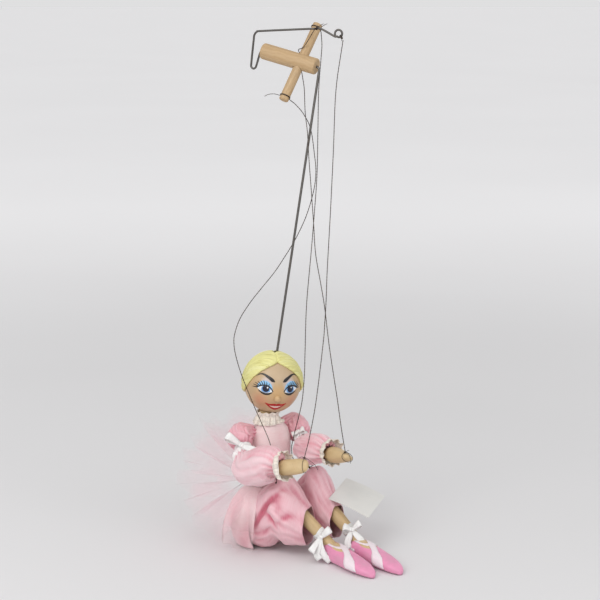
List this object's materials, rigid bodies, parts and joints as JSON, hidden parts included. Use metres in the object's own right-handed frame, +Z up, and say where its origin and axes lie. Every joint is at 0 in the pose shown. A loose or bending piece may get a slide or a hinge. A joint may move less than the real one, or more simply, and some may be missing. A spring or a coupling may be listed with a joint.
{
  "type": "marionette",
  "caption": "Seated ballerina marionette with jointed wooden limbs, cloth costume, head rod and strings to a wooden cross-bar control with a hand wire.",
  "frame": {"origin": "middle of the seat, on the flat underside of the trunk, which is on the surface that the figure sits on", "axes": "+Z up, the figure faces -Y and its left side is +X"},
  "size_m": [0.1695, 0.2319, 0.4994],
  "materials": {
    "beech": "satin",
    "card": "matte",
    "face_paint": "satin",
    "hair_paint": "satin",
    "lace": "matte",
    "limb_wood": "satin",
    "pale_nylon": "matte",
    "pink_satin": "satin",
    "shoe_paint": "satin",
    "steel": "satin",
    "thread": "matte",
    "tulle": "matte",
    "white_ribbon": "satin"
  },
  "bodies": {
    "trunk": {"torso_block": "limb_wood", "head_rod": "steel", "shoulder_wire": "steel", "hip_wire": "steel", "bodice": "pale_nylon", "lace_collar": "lace", "overskirt": "pale_nylon", "tulle_upper": "tulle", "tulle_lower": "tulle", "bloomer_seat": "pink_satin", "right_hand_string": "thread", "left_hand_string": "thread", "right_knee_string": "thread", "left_knee_string": "thread"},
    "control": {"handle": "beech", "cross_bar": "beech", "near_bar_knot": "thread", "far_bar_knot": "thread"},
    "wire_frame": {"hand_wire": "steel", "wire_knot": "thread", "eye_knot": "thread"},
    "head": {"head_ball": "face_paint", "nose_bead": "face_paint", "hair_cap": "hair_paint"},
    "right_arm": {"right_upper_arm": "limb_wood", "right_elbow_pin": "steel", "right_cap_sleeve": "pink_satin", "right_sleeve_ribbon": "white_ribbon", "right_puff_sleeve": "pink_satin"},
    "right_hand": {"right_forearm": "limb_wood", "right_lace_cuff": "lace", "right_hand_knot": "thread"},
    "right_upper_leg": {"right_thigh": "limb_wood", "right_knee_pin": "steel", "right_bloomer_leg": "pink_satin", "right_knee_knot": "thread"},
    "right_lower_leg": {"right_shin": "limb_wood", "right_shoe": "shoe_paint", "right_ankle_ribbon": "white_ribbon"},
    "left_arm": {"left_upper_arm": "limb_wood", "left_elbow_pin": "steel", "left_cap_sleeve": "pink_satin", "left_sleeve_ribbon": "white_ribbon", "left_puff_sleeve": "pink_satin"},
    "left_hand": {"left_forearm": "limb_wood", "left_lace_cuff": "lace", "left_hand_knot": "thread"},
    "left_upper_leg": {"left_thigh": "limb_wood", "left_knee_pin": "steel", "left_bloomer_leg": "pink_satin", "left_knee_knot": "thread"},
    "left_lower_leg": {"left_shin": "limb_wood", "left_shoe": "shoe_paint", "left_ankle_ribbon": "white_ribbon", "swing_tag": "card"}
  },
  "joints": [
    {"name": "control_roll", "type": "hinge", "parent": "trunk", "child": "control", "pos_m": [0.04955, -0.01032, 0.45837], "axis": [-0.4271, 0.8717, 0.2402], "range_deg": [-10, 95], "deforming": ["right_knee_string", "left_knee_string"]},
    {"name": "wire_swing", "type": "hinge", "parent": "trunk", "child": "wire_frame", "pos_m": [0.02478, 0.04024, 0.4723], "axis": [-0.4271, 0.8717, 0.2402], "range_deg": [-40, 12], "deforming": ["right_hand_string", "left_hand_string"]},
    {"name": "head_turn", "type": "hinge", "parent": "trunk", "child": "head", "pos_m": [0.00255, -0.00216, 0.15899], "axis": [0.1598, -0.0362, 0.9865], "range_deg": [-60, 60]},
    {"name": "right_shoulder", "type": "hinge", "parent": "trunk", "child": "right_arm", "pos_m": [-0.0333, 0.0035, 0.113], "axis": [-1, 0, 0], "range_deg": [0, 40], "deforming": ["right_hand_string", "right_puff_sleeve"]},
    {"name": "right_elbow", "type": "hinge", "parent": "right_arm", "child": "right_hand", "pos_m": [-0.04147, -0.02511, 0.0848], "axis": [-0.8703, -0.1965, 0.4516], "range_deg": [0, 20], "deforming": ["right_puff_sleeve"]},
    {"name": "right_hip", "type": "hinge", "parent": "trunk", "child": "right_upper_leg", "pos_m": [-0.0225, 0, 0.022], "axis": [-1, 0, 0], "range_deg": [0, 15], "deforming": ["right_knee_string", "right_bloomer_leg"]},
    {"name": "right_knee", "type": "hinge", "parent": "right_upper_leg", "child": "right_lower_leg", "pos_m": [-0.00488, -0.03939, 0.05102], "axis": [-0.9113, -0.4117, -0.0054], "range_deg": [0, 45], "deforming": ["right_bloomer_leg"]},
    {"name": "left_shoulder", "type": "hinge", "parent": "trunk", "child": "left_arm", "pos_m": [0.0333, 0.0035, 0.113], "axis": [-1, 0, 0], "range_deg": [0, 40], "deforming": ["left_hand_string", "left_puff_sleeve"]},
    {"name": "left_elbow", "type": "hinge", "parent": "left_arm", "child": "left_hand", "pos_m": [0.02184, -0.03211, 0.09622], "axis": [-0.8916, 0.0766, 0.4463], "range_deg": [0, 20], "deforming": ["left_puff_sleeve"]},
    {"name": "left_hip", "type": "hinge", "parent": "trunk", "child": "left_upper_leg", "pos_m": [0.0225, 0, 0.022], "axis": [-1, 0, 0], "range_deg": [0, 15], "deforming": ["left_knee_string", "left_bloomer_leg"]},
    {"name": "left_knee", "type": "hinge", "parent": "left_upper_leg", "child": "left_lower_leg", "pos_m": [0.03081, -0.04365, 0.04902], "axis": [-0.9822, -0.1879, -0.0013], "range_deg": [0, 45], "deforming": ["left_bloomer_leg"]}
  ],
  "couplings": [
    {"joint": "right_elbow", "follows": "right_shoulder", "ratio": 0.5},
    {"joint": "left_elbow", "follows": "left_shoulder", "ratio": 0.5}
  ]
}
